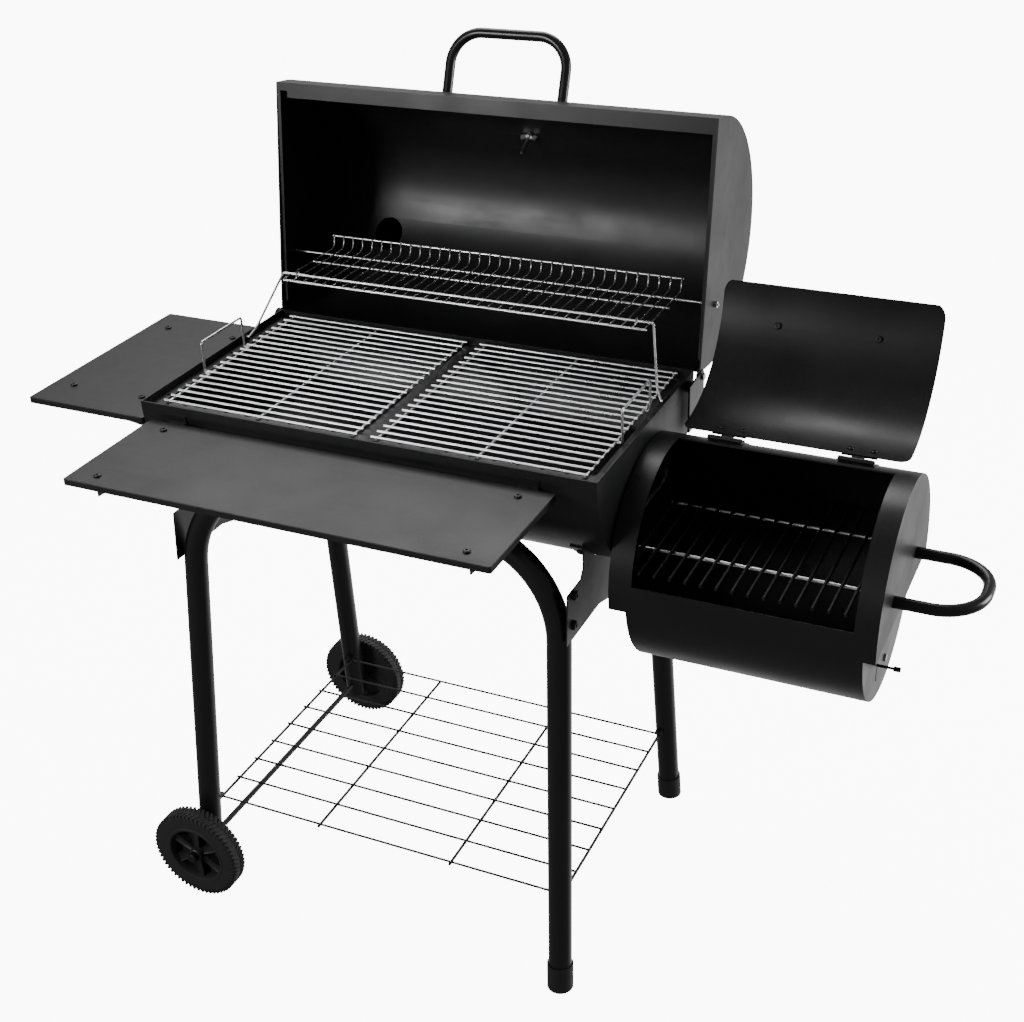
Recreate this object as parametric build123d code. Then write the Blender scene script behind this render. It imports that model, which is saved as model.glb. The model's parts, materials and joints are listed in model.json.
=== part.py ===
from build123d import *
import math
import os

os.makedirs("parts", exist_ok=True)

# Barrel (axis along X), bowl rim and cooking grates
BARREL_L = 762.0
BOWL_R = 206.0
RIM_Z = 900.0
SHEET = 2.0
LEDGE_Z = 888.0
SMOKE_HOLE = (160.0, 70.0, 805.0)

# Lid: built closed, shown swung open about the lid hinge
LID_R = 197.0
LID_CY, LID_CZ = 11.0, 927.0
LID_T = 1.5
LID_X = 386.0
LID_LIP_Z = 900.6
LID_HINGE = (212.0, 888.0)
LID_OPEN = -96.9

# Fittings on the lid, placed with the lid closed
CHIMNEY_X, CHIMNEY_Y = -286.0, 98.0
THERMO_A = 126.7

# Firebox: two half drums with the same axis direction as the barrel
FB_Z = 699.0
FB_R = 171.0
FB_X0, FB_X1 = 383.0, 773.0
FB_LOW_R = 168.6
FB_LOW_X0, FB_LOW_X1 = 408.0, 755.0
DOOR_R = 174.0
DOOR_X0, DOOR_X1 = 408.0, 750.0
DOOR_HINGE = (48.5, 868.2)
DOOR_OPEN = -179.0
DAMPER_Y, DAMPER_Z, DAMPER_ARM = 0.0, 578.0, 56.0
FIRE_GRATE_Z = 731.0

# Legs: two bent tubes, splayed in both directions
LEG_R = 19.0
LEG_Y0, LEG_YS = 265.6, 0.096
LEG_X0, LEG_XS = 335.8, 0.026
LEG_TOP_Z, LEG_BEND = 778.0, 158.0
AXLE_Z = 84.0
WHEEL_R = 84.0

# Warming rack linkage (a parallelogram with the lid)
RACK_A = (279.0, 984.0)
BAIL_F = (84.0, 896.5)
BAIL_B = (151.0, 992.5)

# Shelves
FRONT_SHELF = (-359.0, 324.0, -430.0, -215.0, 877.0)
LEFT_SHELF = (-616.0, -391.0, -197.0, 194.0, 865.0)
RACK_Z = 158.0


def box(x0, x1, y0, y1, z0, z1):
    return Pos((x0 + x1) / 2, (y0 + y1) / 2, (z0 + z1) / 2) * Box(x1 - x0, y1 - y0, z1 - z0)


def xcyl(x0, x1, y, z, r):
    return Pos((x0 + x1) / 2, y, z) * Rot(0, 90, 0) * Cylinder(r, x1 - x0)


def ycyl(y0, y1, x, z, r):
    return Pos(x, (y0 + y1) / 2, z) * Rot(90, 0, 0) * Cylinder(r, y1 - y0)


def zcyl(z0, z1, x, y, r):
    return Pos(x, y, (z0 + z1) / 2) * Cylinder(r, z1 - z0)


def polar(cy, cz, r, deg):
    a = math.radians(deg)
    return (cy + r * math.cos(a), cz + r * math.sin(a))


def sector(x0, x1, cy, cz, r0, r1, a0, a1):
    """Ring sector about an X axis, from angle a0 to a1 measured from +Y towards +Z."""
    n = max(2, int(math.ceil((a1 - a0) / 40.0)))
    far = r1 * 3
    pts = [(cy, cz)] + [polar(cy, cz, far, a0 + (a1 - a0) * i / n) for i in range(n + 1)]
    wedge = Plane.YZ * make_face(Polyline(*pts, close=True).edges())
    ring = xcyl(x0, x1, cy, cz, r1) - xcyl(x0 - 1, x1 + 1, cy, cz, r0)
    return ring & (Pos(x0, 0, 0) * extrude(wedge, x1 - x0))


def half_disc(x0, x1, r, z_rim, keep):
    return xcyl(x0, x1, 0, z_rim, r) & keep


def wire(points, r, bend=0.0):
    """Round wire or rod swept along a polyline, with bends of one radius."""
    path = FilletPolyline(*points, radius=bend) if bend else Polyline(*points)
    return sweep(Plane(path @ 0, z_dir=path % 0) * Circle(r), path)


def tube(points, r, wall, bend):
    return wire(points, r, bend) - wire(points, r - wall, bend)


def prism(axis, outline, a0, a1):
    plane = {"x": Plane.YZ, "y": Plane.XZ}[axis]
    face = plane * make_face(Polyline(*outline, close=True).edges())
    if axis == "x":
        return Pos(a0, 0, 0) * extrude(face, a1 - a0)
    return Pos(0, a1, 0) * extrude(face, a1 - a0)


def swing(shape, hinge, deg):
    return Pos(0, *hinge) * Rot(deg, 0, 0) * Pos(0, -hinge[0], -hinge[1]) * shape


def screw(x, y, z, direction, r, head, length, socket=0.45):
    """Dome-headed screw with a hex socket, head on the +direction side."""
    dome = Pos(0, 0, head * 0.3) * Cylinder(head, head * 0.6)
    dome = fillet(dome.edges().group_by(Axis.Z)[-1], head * 0.35)
    hexa = extrude(RegularPolygon(head * socket, 6), head * 0.4)
    body = dome - Pos(0, 0, head * 0.3) * hexa
    body -= Pos(0, 0, -head) * Cylinder(head * 2, 2 * head)
    if length:
        body += Pos(0, 0, -length / 2) * Cylinder(r, length)
    return Plane((x, y, z), z_dir=direction) * body


def leg_x(z):
    return LEG_X0 - LEG_XS * z


def leg_y(z):
    return LEG_Y0 - LEG_YS * z


# ---------------------------------------------------------------- bowl
def bowl_shell():
    h = BARREL_L / 2 - SHEET
    shell = sector(-h, h, 0, RIM_Z, BOWL_R - SHEET, BOWL_R, 180, 360)
    front = box(-h, h, -204.2, -164, LEDGE_Z - SHEET, LEDGE_Z)
    rear = box(-h, h, 182, 204.2, LEDGE_Z - SHEET, LEDGE_Z)
    body = shell + front + rear
    for i in range(18):
        body -= zcyl(LEDGE_Z - 5, LEDGE_Z + 5, -323 + 38 * i, -173, 3.0)
    return body


def bowl_end(side):
    x = BARREL_L / 2
    keep = box(x - SHEET, x, -300, 300, RIM_Z - 300, RIM_Z)
    plate = half_disc(x - SHEET, x, BOWL_R, RIM_Z, keep)
    if side > 0:
        w, h, z = SMOKE_HOLE
        hole = Pos(x, 0, z) * Box(20, w, h)
        plate -= fillet(hole.edges().filter_by(Axis.X), 20)
    return plate if side > 0 else mirror(plate, Plane.YZ)


def grate_ledge(side):
    x = BARREL_L / 2 - SHEET
    bar = box(x - 16, x, -163.8, 181.8, LEDGE_Z - SHEET, LEDGE_Z)
    bar += box(x - SHEET, x, -163.8, 181.8, LEDGE_Z - 20, LEDGE_Z)
    for y in (-150, -60, 30, 120):
        bar -= zcyl(LEDGE_Z - 5, LEDGE_Z + 5, x - 8, y, 2.5)
    return bar if side > 0 else mirror(bar, Plane.YZ)


def rack_lug(side):
    x = BARREL_L / 2 - SHEET
    lug = box(x - 4, x - 1, 76, 92, LEDGE_Z, 903) + box(x - 1, x, 76, 92, LEDGE_Z, 899.5)
    lug -= xcyl(x - 10, x - 1, *BAIL_F, 2.05)
    return lug if side > 0 else mirror(lug, Plane.YZ)


def centre_bar():
    bar = box(-14, 14, -163.8, 181.8, LEDGE_Z - SHEET, LEDGE_Z)
    bar += box(-2, 2, -190, 195, LEDGE_Z - 22, LEDGE_Z - SHEET)
    return bar


def cooking_grate(side):
    rods = [xcyl(12, 357, -179 + 19.7 * i, 894.01, 2.0) for i in range(20)]
    cross = [ycyl(-183, 199, x, 890.02, 2.0) for x in (20, 185, 352)]
    z0, z1, x = 890.02, 943, 362
    pts = [(354.5, -60, z0), (x, -60, z0), (x, -60, z1), (x, 56, z1), (x, 56, z0), (354.5, 56, z0)]
    handle = wire(pts, 2.0, 4.0)
    parts = rods + cross + [handle]
    if side < 0:
        parts = [mirror(p, Plane.YZ) for p in parts]
    return Compound(children=parts)


def charcoal_pan():
    x, y0, y1, z0, z1 = 345, -140, 140, 782, 812
    pan = box(-x, x, y0, y1, z0, z1) - box(-x + 1.5, x - 1.5, y0 + 1.5, y1 - 1.5, z0 + 1.5, z1 + 1)
    for ty in (-130, 95):
        pan += box(-x - 14, -x, ty, ty + 35, z1 - 1.5, z1) + box(x, x + 14, ty, ty + 35, z1 - 1.5, z1)
    for i in range(9):
        for j in range(3):
            pan -= zcyl(z0 - 1, z0 + 3, -304 + 76 * i, -90 + 90 * j, 7)
    return pan


def pan_rest(side):
    """Two small angles on the barrel's end, one each side of the smoke passage."""
    x = BARREL_L / 2 - SHEET
    rests = []
    for y in (-132, 92):
        rests.append(box(x - 22, x, y, y + 40, 808.4, 810.4) + box(x - 2, x, y, y + 40, 790, 810.4))
    both = Compound(children=rests)
    return both if side > 0 else mirror(both, Plane.YZ)


def lid_bracket(side):
    """Cranked plate that carries the lid pivot clear of the lid's end."""
    h = LID_HINGE
    plate = xcyl(390, 393, *h, 11)
    if side > 0:
        plate += prism("x", [(153, 815), (214, 815), (222, 860), (222.5, 889), (203, 896), (153, 893)], 390, 393)
    else:
        plate += prism("x", [(186, 868), (212, 868), (222, 880), (222.5, 889), (203, 893), (186, 886)], 390, 393)
    foot = box(381, 390, 187, 199, 869, 882)
    body = plate + foot - xcyl(380, 400, *h, 3.55)
    return body if side > 0 else mirror(body, Plane.YZ)


def lid_pivot(side):
    h = LID_HINGE
    pin = xcyl(383.5, 394, *h, 3.5) + Pos(395.5, *h) * Rot(0, 90, 0) * extrude(RegularPolygon(6.5, 6), 1.5, both=True)
    return pin if side > 0 else mirror(pin, Plane.YZ)


# ---------------------------------------------------------------- stand
def leg_frame(side):
    top = LEG_TOP_Z
    pts = [(leg_x(-20), -leg_y(-20), -20), (leg_x(top), -leg_y(top), top),
           (-leg_x(top), -leg_y(top), top), (-leg_x(62), -leg_y(62), 62)]
    frame = tube(pts, LEG_R, 2.0, LEG_BEND)
    frame -= box(300, 360, -320, -220, -60, 3)
    frame -= ycyl(-320, -200, -leg_x(AXLE_Z), AXLE_Z, 5.0)
    return frame if side < 0 else mirror(frame, Plane.XZ)


def foot_cap(side):
    low, high = (leg_x(-20), -leg_y(-20), -20), (leg_x(44), -leg_y(44), 44)
    cap = wire([low, high], LEG_R + 2.6) - box(290, 380, -330, -210, -60, 0)
    bore = wire([low, (leg_x(60), -leg_y(60), 60)], LEG_R) - box(290, 380, -330, -210, -60, 3)
    cap -= bore
    return cap if side < 0 else mirror(cap, Plane.XZ)


def leg_brace(side):
    x0, x1 = 338.6, 341.1
    outline = [(-227, 634), (-100, 634), (-60, 622), (60, 622), (100, 634), (227, 634), (220, 716),
               (170, 716), (160, 730), (160, 790), (-160, 790), (-160, 730), (-170, 716), (-220, 716)]
    plate = prism("x", outline, x0, x1) - xcyl(x0 - 1, x1 + 1, 0, RIM_Z, BOWL_R + 0.1)
    for a in (223.5, 304.5):
        plate += sector(x0 - 24, x1, 0, RIM_Z, BOWL_R + 0.1, BOWL_R + 2.6, a, a + 12)
    return plate if side > 0 else mirror(plate, Plane.YZ)


def frame_bolts():
    """Brace-to-leg bolts and brace-to-bowl bolts."""
    out = []
    for sx in (-1, 1):
        for sy in (-1, 1):
            for z in (656, 704):
                out.append(screw(sx * 341.1, sy * (leg_y(z) - 2), z, (sx, 0, 0), 3.4, 7.5, 0))
        for a in (229.5, 310.5):
            y, z = polar(0, RIM_Z, BOWL_R + 2.6, a)
            d = (0, math.cos(math.radians(a)), math.sin(math.radians(a)))
            out.append(screw(sx * 327, y, z, d, 3.0, 6.5, 0))
    return Compound(children=out)


def axle():
    rod = ycyl(-316, 316, -leg_x(AXLE_Z), AXLE_Z, 4.95)
    return rod


def axle_cap(side):
    x = -leg_x(AXLE_Z)
    cap = ycyl(-321, -311.6, x, AXLE_Z, 9) - ycyl(-316, -300, x, AXLE_Z, 4.95)
    cap = fillet(cap.edges().group_by(Axis.Y)[0], 3)
    return cap if side < 0 else mirror(cap, Plane.XZ)


def tyre(side):
    x = -leg_x(AXLE_Z)
    ring = ycyl(-311, -279, x, AXLE_Z, WHEEL_R - 3) - ycyl(-320, -270, x, AXLE_Z, 60)
    ring = chamfer(ring.edges().filter_by(GeomType.CIRCLE).sort_by(SortBy.RADIUS)[-2:], 4)
    blocks = []
    for i in range(36):
        for j, y in enumerate((-302.5, -287.5)):
            a = 10 * i + 5 * j
            blocks.append(Pos(x, y, AXLE_Z) * Rot(0, a, 0) * Pos(0, 0, WHEEL_R - 3) * Rot(0, 0, 24 if j else -24)
                          * Box(8.2, 13, 8))
    body = ring + blocks & ycyl(-311, -279, x, AXLE_Z, WHEEL_R)
    return body if side < 0 else mirror(body, Plane.XZ)


def hub(side):
    x = -leg_x(AXLE_Z)
    rim = ycyl(-307, -283, x, AXLE_Z, 60) - ycyl(-320, -270, x, AXLE_Z, 54)
    boss = ycyl(-311, -279, x, AXLE_Z, 13)
    web = ycyl(-296, -294, x, AXLE_Z, 55)
    for i in range(6):
        a = math.radians(60 * i + 30)
        web -= ycyl(-300, -290, x + 35 * math.sin(a), AXLE_Z + 35 * math.cos(a), 11)
    spokes = [Pos(x, -295, AXLE_Z) * Rot(0, 60 * i, 0) * Pos(0, 0, 33) * Box(7, 18, 44) for i in range(6)]
    body = rim + boss + web + spokes
    body -= ycyl(-320, -270, x, AXLE_Z, 5.0)
    return body if side < 0 else mirror(body, Plane.XZ)


def lower_rack():
    rods = [xcyl(-327, 327, -228 + 57 * i, RACK_Z, 2.0) for i in range(9)]
    cross = [ycyl(-230.5, 230.5, x, RACK_Z - 4.5, 2.5) for x in (-324.5, -125, 125, 324.5)]
    return Compound(children=rods + cross)


def rack_tabs():
    out = []
    for sx in (-1, 1):
        for sy in (-1, 1):
            x0, x1 = sorted((sx * 318, sx * 334))
            y0, y1 = sorted((sy * 222, sy * 236))
            tab = box(x0, x1, y0, y1, RACK_Z + 2, RACK_Z + 4)
            leg = wire([(sx * leg_x(100), sy * leg_y(100), 100), (sx * leg_x(220), sy * leg_y(220), 220)], LEG_R)
            out.append(tab - leg)
    return Compound(children=out)


# ---------------------------------------------------------------- shelves
def folded_top(x0, x1, y0, y1, z, holes, notches):
    top = box(x0, x1, y0, y1, z - 10, z)
    top = fillet(top.edges().filter_by(Axis.Z), 4)
    top = fillet(top.faces().sort_by(Axis.Z)[-1].edges(), 1.2)
    top -= box(x0 + 1.5, x1 - 1.5, y0 + 1.5, y1 - 1.5, z - 11, z - 1.5)
    for hx, hy in holes:
        top -= zcyl(z - 5, z + 1, hx, hy, 3.05)
    for nx0, nx1, ny0, ny1 in notches:
        top -= box(nx0, nx1, ny0, ny1, z - 11, z - 1.5)
    return top


FRONT_HOLES = [(-315, -243), (-315, -405), (278, -243), (278, -405)]
LEFT_HOLES = [(-575, 132), (-575, -132), (-439, 132), (-439, -132)]
FRONT_NOTCHES = [(-331.3, -298.7, -217, -214), (261.7, 294.3, -217, -214)]
LEFT_NOTCHES = [(-393, -390, 115.7, 152.3), (-393, -390, -152.3, -115.7)]


def shelf_screws(holes, z):
    return Compound(children=[screw(x, y, z, (0, 0, 1), 3.0, 5.5, 8.0) for x, y in holes])


def front_arm(x):
    z1 = FRONT_SHELF[4] - 1.5
    keep = xcyl(x - 40, x + 40, 0, RIM_Z, BOWL_R + 0.1)
    arm = box(x - 16, x + 16, -427, -150, z1 - 2, z1)
    web = prism("x", [(-427, z1), (-427, z1 - 18), (-300, z1 - 28), (-150, z1 - 34), (-150, z1)], x + 14, x + 16)
    pad = sector(x - 16, x + 16, 0, RIM_Z, BOWL_R + 0.1, BOWL_R + 2.1, 184, 195)
    arm = arm + web - keep + pad
    for hy in (-243, -405):
        arm -= zcyl(z1 - 5, z1 + 1, x, hy, 3.05)
    return arm


def left_arm(sy):
    z1 = LEFT_SHELF[4] - 1.5
    x1 = -BARREL_L / 2
    arm = box(-600, x1, 116, 152, z1 - 2, z1)
    web = prism("y", [(-600, z1), (-600, z1 - 14), (x1, z1 - 46), (x1, z1)], 150, 152)
    end = box(x1 - 2, x1, 116, 152, z1 - 46, z1)
    body = arm + web + end
    for hx in (-575, -439):
        body -= zcyl(z1 - 5, z1 + 1, hx, 132, 3.05)
    return body if sy > 0 else mirror(body, Plane.XZ)


# ---------------------------------------------------------------- lid
def lid_solid(x0, x1, r):
    drum = xcyl(x0, x1, LID_CY, LID_CZ, r) & box(x0, x1, -400, 400, LID_CZ, LID_CZ + 300)
    skirt = prism("x", [(LID_CY - r, LID_LIP_Z), (LID_CY + r, 892), (LID_CY + r, LID_CZ), (LID_CY - r, LID_CZ)], x0, x1)
    return drum + skirt


def lid_shell():
    shell = lid_solid(-LID_X, LID_X, LID_R)
    inner = xcyl(-LID_X - 1, LID_X + 1, LID_CY, LID_CZ, LID_R - LID_T)
    inner += box(-LID_X - 1, LID_X + 1, LID_CY - LID_R + LID_T, LID_CY + LID_R - LID_T, 880, LID_CZ)
    shell -= inner
    y = CHIMNEY_Y
    shell -= zcyl(1000, 1200, CHIMNEY_X, y, 27)
    ty, tz = polar(LID_CY, LID_CZ, LID_R, THERMO_A)
    d = (0, math.cos(math.radians(THERMO_A)), math.sin(math.radians(THERMO_A)))
    shell -= Plane((0, ty, tz), z_dir=d) * Cylinder(4.05, 20)
    return shell


def lid_end(side):
    plate = lid_solid(LID_X, LID_X + 2, LID_R)
    plate += xcyl(LID_X, LID_X + 2, *LID_HINGE, 11)
    plate -= xcyl(LID_X - 1, LID_X + 3, *LID_HINGE, 3.55)
    reach = math.hypot(RACK_A[0] - LID_HINGE[0], RACK_A[1] - LID_HINGE[1])
    turn = math.degrees(math.atan2(RACK_A[1] - LID_HINGE[1], RACK_A[0] - LID_HINGE[0])) - LID_OPEN
    plate -= xcyl(LID_X - 1, LID_X + 3, *polar(*LID_HINGE, reach, turn), 2.05)
    return plate if side > 0 else mirror(plate, Plane.YZ)


def lid_lip():
    """Folded stiffener along the front edge, with narrow flanges down both ends."""
    y, z = LID_CY - LID_R + LID_T, LID_LIP_Z
    lip = box(-LID_X, LID_X, y, y + 12, z, z + 1.5)
    lip += box(-LID_X + 16, LID_X - 2, y + 10.5, y + 12, z, z + 7)
    lip += box(-LID_X + 16, LID_X - 2, y + 10.5, y + 24, z + 5.5, z + 7)
    for sx in (-1, 1):
        x0, x1 = sorted((sx * LID_X, sx * (LID_X - 6)))
        lip += box(x0, x1, y + 12, 190, z, z + 1.5)
    return lip


def lid_handle():
    a = 166.0
    out = (0, math.cos(math.radians(a)), math.sin(math.radians(a)))
    y, z = polar(LID_CY, LID_CZ, LID_R, a)
    p = [Vector(-103, y, z), Vector(-103, y, z) + Vector(*out) * 99,
         Vector(103, y, z) + Vector(*out) * 99, Vector(103, y, z)]
    loop = tube([tuple(v) for v in p], 8.5, 1.5, 52)
    return loop - xcyl(-200, 200, LID_CY, LID_CZ, LID_R)


def handle_screws():
    a = 166.0
    y, z = polar(LID_CY, LID_CZ, LID_R - LID_T - 0.12, a)
    d = (0, -math.cos(math.radians(a)), -math.sin(math.radians(a)))
    return Compound(children=[screw(x, y, z, d, 3.0, 6.5, 0) for x in (-103, 103)])


def chimney():
    y = CHIMNEY_Y
    outer = zcyl(1060, 1270, CHIMNEY_X, y, 32) - zcyl(1050, 1280, CHIMNEY_X, y, 30.5)
    outer -= xcyl(-400, 0, LID_CY, LID_CZ, LID_R)
    collar = zcyl(1060, 1250, CHIMNEY_X, y, 48) - zcyl(1050, 1280, CHIMNEY_X, y, 32)
    band = xcyl(-400, 0, LID_CY, LID_CZ, LID_R + 2) - xcyl(-400, 0, LID_CY, LID_CZ, LID_R)
    return outer + (collar & band)


def chimney_cap():
    y = CHIMNEY_Y
    cap = zcyl(1271, 1273, CHIMNEY_X, y, 36) + zcyl(1273, 1278, CHIMNEY_X + 27, y, 4.5)
    cap += box(CHIMNEY_X - 52, CHIMNEY_X - 30, y - 9, y + 9, 1271, 1273)
    cap -= zcyl(1260, 1300, CHIMNEY_X + 27, y, 2.05)
    return cap


def chimney_pin():
    y = CHIMNEY_Y
    pin = zcyl(1255, 1280, CHIMNEY_X + 27, y, 2.0) + zcyl(1278.2, 1280, CHIMNEY_X + 27, y, 4)
    return pin + (zcyl(1255, 1270.8, CHIMNEY_X + 27, y, 4) & zcyl(1250, 1280, CHIMNEY_X, y, 30.5))


def thermo_plane(r):
    y, z = polar(LID_CY, LID_CZ, r, THERMO_A)
    d = (0, math.cos(math.radians(THERMO_A)), math.sin(math.radians(THERMO_A)))
    return Plane((0, y, z), x_dir=(1, 0, 0), z_dir=d)


def thermo_case():
    case = Pos(0, 0, 8) * Cylinder(28, 12) - Pos(0, 0, 11) * Cylinder(25, 8)
    case += Pos(0, 0, 1.2) * Cylinder(9, 2.6)
    case += Pos(0, 0, 14.4) * (Cylinder(28, 2) - Cylinder(24.5, 2))
    return thermo_plane(LID_R) * case - xcyl(-50, 50, LID_CY, LID_CZ, LID_R)


def thermo_lens():
    return thermo_plane(LID_R) * Pos(0, 0, 14.0) * Cylinder(24.4, 1.0)


def thermo_needle():
    needle = Pos(0, 0, 9.2) * Cylinder(2.6, 1.6) + Pos(0, 8, 9.2) * Box(1.6, 19, 0.8)
    return thermo_plane(LID_R) * (needle - Pos(0, 0, 9.2) * Cylinder(1.05, 4))


def thermo_stem():
    """Probe stem with its wing nut inside the lid, and the needle spindle."""
    spindle = Pos(0, 0, 9.1) * Cylinder(1.0, 4.2)
    stem = Pos(0, 0, -22.6) * Cylinder(2.5, 45)
    nut = Pos(0, 0, -LID_T - 3.2) * Cylinder(6, 6)
    for s in (-1, 1):
        nut += Pos(s * 9, 0, -LID_T - 6.8) * Rot(0, s * 20, 0) * Box(11, 2, 9)
    return thermo_plane(LID_R) * Compound(children=[spindle, stem + nut])


# ---------------------------------------------------------------- warming rack
def warming_rack():
    y, z = RACK_A
    rods = [xcyl(-326, 326, 140, z, 2.0), xcyl(-328, 328, 238, z, 2.0), xcyl(-326, 326, 312, z + 23, 2.0)]
    rods.append(xcyl(-390.5, 395.5, y, z, 2.0))
    cross = []
    for i in range(35):
        x = -323 + 19 * i
        pts = [(x, 136, z + 3.24), (x, 308.76, z + 3.24), (x, 308.76, z + 26)]
        cross.append(wire(pts, 1.25, 14))
    return Compound(children=rods + cross)


def rack_staples():
    y, z = BAIL_B
    out = []
    for x in (-304, 304):
        s = box(x - 1, x + 1, y - 4.3, y + 4.3, z - 4.02, z + 4.5) - box(x - 2, x + 2, y - 2.8, y + 2.8, z - 5, z + 3)
        out.append(s)
    return Compound(children=out)


def rack_nuts():
    out = []
    for x0, x1 in ((388.6, 393.4), (-393.4, -388.6)):
        nut = Pos((x0 + x1) / 2, *RACK_A) * Rot(0, 90, 0) * extrude(RegularPolygon(5.5, 6), 2.4, both=True)
        out.append(nut - xcyl(-400, 400, *RACK_A, 2.0))
    return Compound(children=out)


def bail():
    fy, fz = BAIL_F
    by, bz = BAIL_B

    def at(s, x):
        return (x, fy + (by - fy) * s, fz + (bz - fz) * s)

    pts = [(377.8, fy, fz), (370, fy, fz), at(0.17, 359), at(1, 332), at(1, -332), at(0.17, -359),
           (-370, fy, fz), (-377.8, fy, fz)]
    return wire(pts, 2.0, 2.6)


# ---------------------------------------------------------------- firebox
def firebox_upper():
    shell = sector(FB_X0, FB_X1, 0, FB_Z, FB_R - 2, FB_R, -8, 188)
    cut = sector(418, 740, 0, FB_Z, FB_R - 10, FB_R + 10, 80, 173)
    return shell - cut


def firebox_end(x0, x1, step, hole):
    z_low = FB_Z - FB_R * math.sin(math.radians(8))
    plate = xcyl(x0, x1, 0, FB_Z, FB_R - 2) & box(x0, x1, -300, 300, z_low, FB_Z + 300)
    s0, s1 = step
    plate += box(s0, s1, -164, 164, z_low, z_low + 2)
    if hole:
        w, h, z = SMOKE_HOLE
        cut = Pos(x0, 0, z) * Box(20, w, h)
        plate -= fillet(cut.edges().filter_by(Axis.X), 20)
    return plate


def firebox_collar():
    w, h, z = SMOKE_HOLE
    outer = fillet((Pos(382, 0, z) * Box(2, w + 24, h + 24)).edges().filter_by(Axis.X), 30)
    return outer - fillet((Pos(382, 0, z) * Box(10, w, h)).edges().filter_by(Axis.X), 20)


def firebox_lower():
    return sector(FB_LOW_X0, FB_LOW_X1, 0, FB_Z, FB_LOW_R - 2, FB_LOW_R, 184, 356)


def firebox_low_end(x0, x1, damper):
    z_low = FB_Z - FB_R * math.sin(math.radians(8))
    plate = xcyl(x0, x1, 0, FB_Z, FB_LOW_R - 2) & box(x0, x1, -300, 300, FB_Z - 300, z_low)
    if damper:
        slot = sector(x0 - 1, x1 + 1, DAMPER_Y, DAMPER_Z, DAMPER_ARM - 3, DAMPER_ARM + 3, 157, 187)
        plate -= slot
        plate -= xcyl(x0 - 1, x1 + 1, DAMPER_Y, DAMPER_Z, 3.0)
    return plate


def damper_plate():
    """Shutter behind the curved air slot, turning about one rivet."""
    x1 = FB_LOW_X1 - 2.3
    fan = sector(x1 - 2, x1, DAMPER_Y, DAMPER_Z, 9, DAMPER_ARM + 6.5, 152.5, 191)
    body = fan + xcyl(x1 - 2, x1, DAMPER_Y, DAMPER_Z, 11)
    return body - xcyl(x1 - 3, x1 + 1, DAMPER_Y, DAMPER_Z, 3.05)


def damper_lever():
    y, z = polar(DAMPER_Y, DAMPER_Z, DAMPER_ARM, 160)
    x1 = FB_LOW_X1 - 2.3
    return xcyl(x1, x1 + 30, y, z, 2.2) + xcyl(x1 + 26, x1 + 36, y, z, 4)


def damper_pivot():
    return xcyl(FB_LOW_X1 - 8, FB_LOW_X1 + 3, DAMPER_Y, DAMPER_Z, 3.0) + xcyl(FB_LOW_X1, FB_LOW_X1 + 3, DAMPER_Y, DAMPER_Z, 6)


def end_handle():
    x, y, z = FB_X1, 74, 722
    pts = [(x, -y, z), (x + 116, -y, z), (x + 116, y, z), (x, y, z)]
    return tube(pts, 9, 1.5, 66)


def door_plate():
    ring = sector(DOOR_X0, DOOR_X1, 0, FB_Z, DOOR_R - 1.5, DOOR_R, 80.5, 177.4)
    mid = math.radians(128.95)
    h = 2 * DOOR_R * math.sin(math.radians(48.45))
    plane = Plane((579, 0, FB_Z), x_dir=(1, 0, 0), z_dir=(0, math.cos(mid), math.sin(mid)))
    outline = plane * extrude(RectangleRounded(DOOR_X1 - DOOR_X0, h - 0.6, 16), 260)
    plate = ring & outline
    for x in (500, 657):
        y, z = polar(0, FB_Z, DOOR_R, 156.5)
        plate -= Plane((x, y, z), z_dir=(0, y, z - FB_Z)) * Cylinder(3.05, 10)
    return plate


def door_handle():
    d = math.radians(156.5)
    out = Vector(0, math.cos(d), math.sin(d))
    y, z = polar(0, FB_Z, DOOR_R, 156.5)
    a, b = Vector(500, y, z), Vector(657, y, z)
    pts = [tuple(a), tuple(a + out * 46), tuple(b + out * 46), tuple(b)]
    return wire(pts, 7, 22) - xcyl(480, 680, 0, FB_Z, DOOR_R)


def door_screws():
    d = math.radians(156.5)
    y, z = polar(0, FB_Z, DOOR_R - 1.62, 156.5)
    dirn = (0, -math.cos(d), -math.sin(d))
    return Compound(children=[screw(x, y, z, dirn, 3.0, 5.5, 0) for x in (500, 657)])


HINGE_X = (483.0, 679.0)


def door_hinge_fixed():
    y, z = DOOR_HINGE
    out = []
    for x in HINGE_X:
        leaf = sector(x - 26, x + 26, 0, FB_Z, FB_R, FB_R + 1.6, 58, 73)
        for dx in (-26, 10):
            leaf += xcyl(x + dx, x + dx + 16, y, z, 4)
        out.append(leaf - xcyl(x - 40, x + 40, y, z, 2.05))
    return Compound(children=out)


def door_hinge_leaves():
    y, z = DOOR_HINGE
    out = []
    for x in HINGE_X:
        leaf = sector(x - 26, x + 26, 0, FB_Z, DOOR_R, DOOR_R + 1.6, 80, 91)
        link = sector(x - 9.4, x + 9.4, 0, FB_Z, DOOR_R, DOOR_R + 1.6, 75, 82)
        leaf = leaf + link + xcyl(x - 9.4, x + 9.4, y, z, 4)
        out.append(leaf - xcyl(x - 40, x + 40, y, z, 2.05))
    return Compound(children=out)


def door_hinge_pins():
    return Compound(children=[xcyl(x - 27, x + 27, *DOOR_HINGE, 2.0) for x in HINGE_X])


def hinge_bolts(a, r, flip):
    y, z = polar(0, FB_Z, r, a)
    s = -1 if flip else 1
    d = (0, s * math.cos(math.radians(a)), s * math.sin(math.radians(a)))
    return Compound(children=[screw(x + dx, y, z, d, 2.4, 4.6, 0) for x in HINGE_X for dx in (-17, 17)])


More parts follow.
